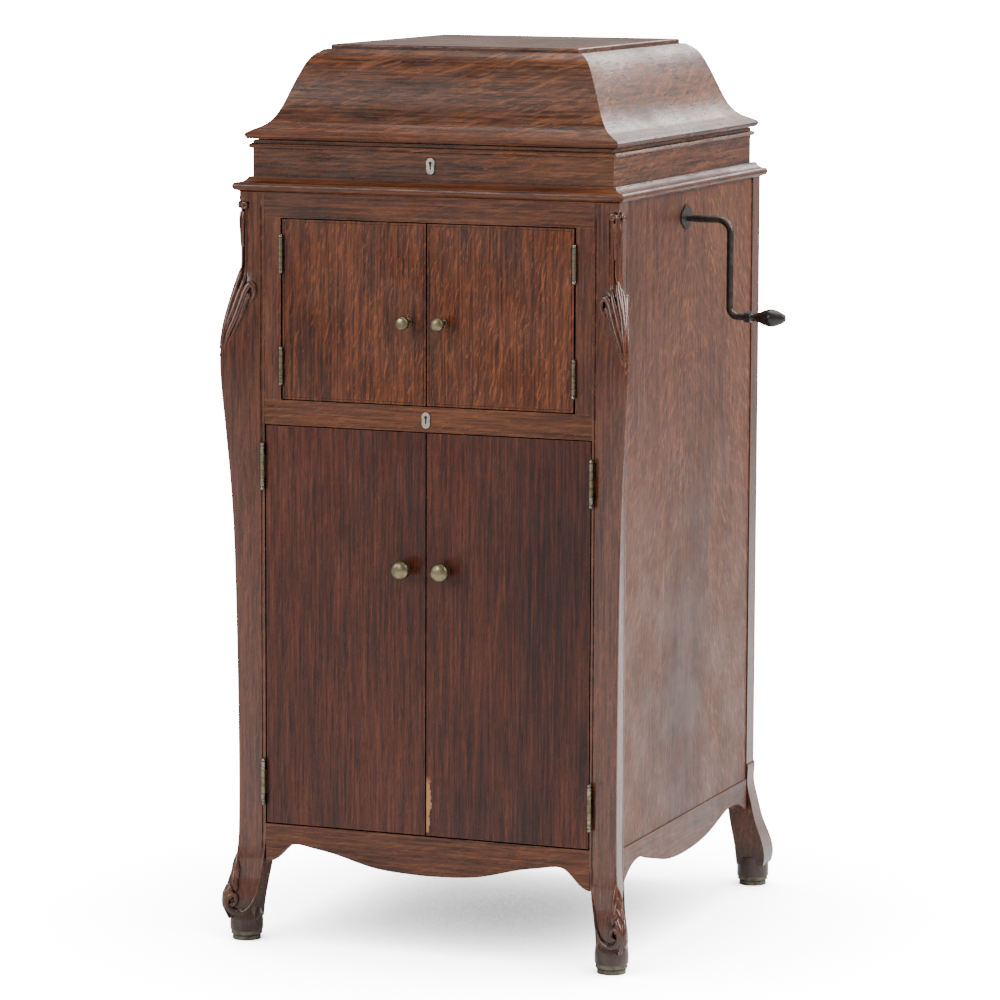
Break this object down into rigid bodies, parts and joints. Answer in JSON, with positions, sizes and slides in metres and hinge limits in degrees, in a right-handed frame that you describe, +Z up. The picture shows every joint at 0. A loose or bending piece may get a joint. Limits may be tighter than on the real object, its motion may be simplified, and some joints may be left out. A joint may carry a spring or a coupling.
{
  "type": "wind-up phonograph",
  "caption": "Floor-standing oak cabinet phonograph with an internal horn behind doors, a domed lifting lid over a turntable, and a side winding crank.",
  "frame": {"origin": "on the floor under the middle of the cabinet, midway between the four glides", "axes": "+Z up, front of the cabinet towards -Y, winding crank on the +X side"},
  "size_m": [0.688, 0.6388, 1.194],
  "materials": {
    "oak": "dark red-brown stained quarter-sawn oak under worn varnish",
    "inner_oak": "plain stained oak, satin",
    "glide_metal": "dull dark metal",
    "old_brass": "tarnished, satin",
    "nickel": "nickel plate, slightly hazed",
    "felt": "short-napped felt",
    "cast_iron": "black japanned casting",
    "motor_steel": "oiled steel",
    "crank_steel": "blackened steel",
    "grip_wood": "black-stained turned wood, semi-gloss"
  },
  "bodies": {
    "cabinet": {"front_post_right": "oak", "front_post_left": "oak", "rear_post_right": "oak", "rear_post_left": "oak", "foot_glides": "glide_metal", "side_panel_right": "oak", "side_panel_left": "oak", "side_rails": "oak", "front_apron": "oak", "back_rail": "inner_oak", "back_panel": "inner_oak", "top_rail": "oak", "middle_rail": "oak", "stiles": "oak", "bottom_board": "inner_oak", "horn_floor": "inner_oak", "record_rack": "inner_oak", "cornice": "oak", "case_rim": "oak", "board_cleats": "inner_oak", "motor_board": "oak", "horn": "inner_oak", "horn_elbow": "cast_iron", "louvres": "inner_oak", "door_hinges": "old_brass", "keyhole_escutcheons": "old_brass", "lid_hinge_leaves_case": "old_brass", "tone_arm_bracket": "nickel", "motor_frame": "cast_iron", "crank_escutcheon": "old_brass", "board_fittings": "nickel", "needle_cups": "nickel"},
    "lid": {"lid_frame": "oak", "lid_dome": "oak", "lid_top": "oak", "lid_hinge_leaves_lid": "old_brass", "lid_stay": "nickel"},
    "upper_door_right": {"upper_door_right": "oak", "upper_brasses_right": "old_brass"},
    "upper_door_left": {"upper_door_left": "oak", "upper_brasses_left": "old_brass"},
    "lower_door_right": {"lower_door_right": "oak", "lower_brasses_right": "old_brass"},
    "lower_door_left": {"lower_door_left": "oak", "lower_brasses_left": "old_brass"},
    "turntable": {"turntable_platter": "nickel", "turntable_felt": "felt", "spindle": "nickel"},
    "tone_arm": {"tone_arm": "nickel"},
    "sound_box": {"gooseneck": "nickel", "sound_box": "nickel"},
    "drums": {"spring_barrel": "motor_steel"},
    "governor": {"governor": "motor_steel"},
    "winding_gear": {"winding_gear": "motor_steel"},
    "crank": {"winding_arbor": "motor_steel", "crank_rod": "crank_steel"},
    "crank_grip": {"crank_grip": "grip_wood"},
    "speed_pointer": {"speed_pointer": "nickel"},
    "brake": {"brake_lever": "nickel"}
  },
  "joints": [
    {"name": "lid_hinge", "type": "hinge", "parent": "cabinet", "child": "lid", "pos_m": [0, 0.2738, 1.0706], "axis": [-1, 0, 0], "range_deg": [0, 75]},
    {"name": "upper_door_right_hinge", "type": "hinge", "parent": "cabinet", "child": "upper_door_right", "pos_m": [0.2055, -0.2975, 0.8489], "axis": [0, 0, 1], "range_deg": [0, 105]},
    {"name": "upper_door_left_hinge", "type": "hinge", "parent": "cabinet", "child": "upper_door_left", "pos_m": [-0.2055, -0.2975, 0.8489], "axis": [0, 0, -1], "range_deg": [0, 105]},
    {"name": "lower_door_right_hinge", "type": "hinge", "parent": "cabinet", "child": "lower_door_right", "pos_m": [0.2316, -0.3, 0.4289], "axis": [0, 0, 1], "range_deg": [0, 105]},
    {"name": "lower_door_left_hinge", "type": "hinge", "parent": "cabinet", "child": "lower_door_left", "pos_m": [-0.2316, -0.3, 0.4289], "axis": [0, 0, -1], "range_deg": [0, 105]},
    {"name": "turntable_spin", "type": "hinge", "parent": "cabinet", "child": "turntable", "pos_m": [0, -0.06, 1.04], "axis": [0, 0, 1], "continuous": true},
    {"name": "tone_arm_swing", "type": "hinge", "parent": "cabinet", "child": "tone_arm", "pos_m": [0.075, 0.19, 1.07], "axis": [0, 0, 1], "range_deg": [-28, 0]},
    {"name": "sound_box_lift", "type": "hinge", "parent": "tone_arm", "child": "sound_box", "pos_m": [0.16889, 0.01341, 1.1], "axis": [0.4695, -0.8829, 0], "range_deg": [0, 75]},
    {"name": "drum_turn", "type": "hinge", "parent": "cabinet", "child": "drums", "pos_m": [0, 0.0323, 0.965], "axis": [1, 0, 0], "continuous": true},
    {"name": "governor_spin", "type": "hinge", "parent": "cabinet", "child": "governor", "pos_m": [0, -0.1, 0.962], "axis": [1, 0, 0], "continuous": true},
    {"name": "winding_gear_turn", "type": "hinge", "parent": "cabinet", "child": "winding_gear", "pos_m": [0.08, 0.0323, 0.965], "axis": [1, 0, 0], "continuous": true},
    {"name": "crank_turn", "type": "hinge", "parent": "cabinet", "child": "crank", "pos_m": [0.27, -0.028, 0.965], "axis": [1, 0, 0], "continuous": true},
    {"name": "grip_spin", "type": "hinge", "parent": "crank", "child": "crank_grip", "pos_m": [0.37, -0.028, 0.837], "axis": [1, 0, 0], "continuous": true},
    {"name": "speed_pointer_turn", "type": "hinge", "parent": "cabinet", "child": "speed_pointer", "pos_m": [-0.165, -0.205, 1.035], "axis": [0, 0, 1], "range_deg": [-35, 35]},
    {"name": "brake_turn", "type": "hinge", "parent": "cabinet", "child": "brake", "pos_m": [0.156, -0.136, 1.037], "axis": [0, 0, 1], "range_deg": [0, 12]}
  ],
  "couplings": [
    {"joint": "turntable_spin", "follows": "drum_turn", "ratio": 20},
    {"joint": "governor_spin", "follows": "drum_turn", "ratio": 160},
    {"joint": "winding_gear_turn", "follows": "crank_turn", "ratio": -0.5}
  ]
}
